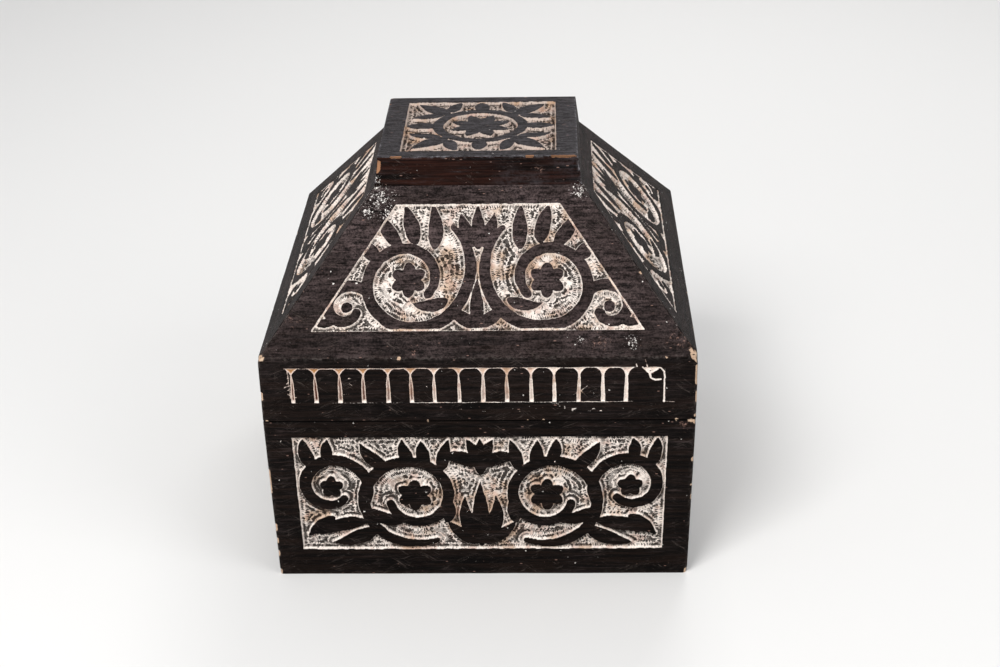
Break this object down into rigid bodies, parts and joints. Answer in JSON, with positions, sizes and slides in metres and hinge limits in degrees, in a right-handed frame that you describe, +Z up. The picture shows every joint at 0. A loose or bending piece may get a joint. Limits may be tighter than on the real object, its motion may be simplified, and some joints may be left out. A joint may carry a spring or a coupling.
{
  "type": "wooden box",
  "caption": "Square carved wooden box with slightly leaning walls and a hinged, hipped lid that carries an arcade band and a block on top.",
  "frame": {"origin": "middle of the case's foot, on the surface that the box stands on", "axes": "+X to the right seen from the front, +Y towards the back where the hinges are, +Z up; the carved front faces -Y"},
  "size_m": [0.28, 0.2855, 0.2704],
  "materials": {
    "dark_wood": "satin, stained nearly black, worn at the edges",
    "brass": "aged, dull"
  },
  "bodies": {
    "case": {"wall_front": "dark_wood", "wall_back": "dark_wood", "wall_left": "dark_wood", "wall_right": "dark_wood", "bottom_board": "dark_wood", "hinge_leaf_case_left": "brass", "hinge_leaf_case_right": "brass", "hinge_pin_left": "brass", "hinge_pin_right": "brass", "screw_case_left_1": "brass", "screw_case_left_2": "brass", "screw_case_right_1": "brass", "screw_case_right_2": "brass"},
    "lid": {"band_front": "dark_wood", "band_back": "dark_wood", "band_left": "dark_wood", "band_right": "dark_wood", "roof_front": "dark_wood", "roof_back": "dark_wood", "roof_left": "dark_wood", "roof_right": "dark_wood", "cap_block": "dark_wood", "hinge_leaf_lid_left": "brass", "hinge_leaf_lid_right": "brass", "screw_lid_left_1": "brass", "screw_lid_left_2": "brass", "screw_lid_right_1": "brass", "screw_lid_right_2": "brass"}
  },
  "joints": [
    {"name": "lid_hinge", "type": "hinge", "parent": "case", "child": "lid", "pos_m": [0, 0.1429, 0.1196], "axis": [-1, 0, 0], "range_deg": [0, 105]}
  ]
}
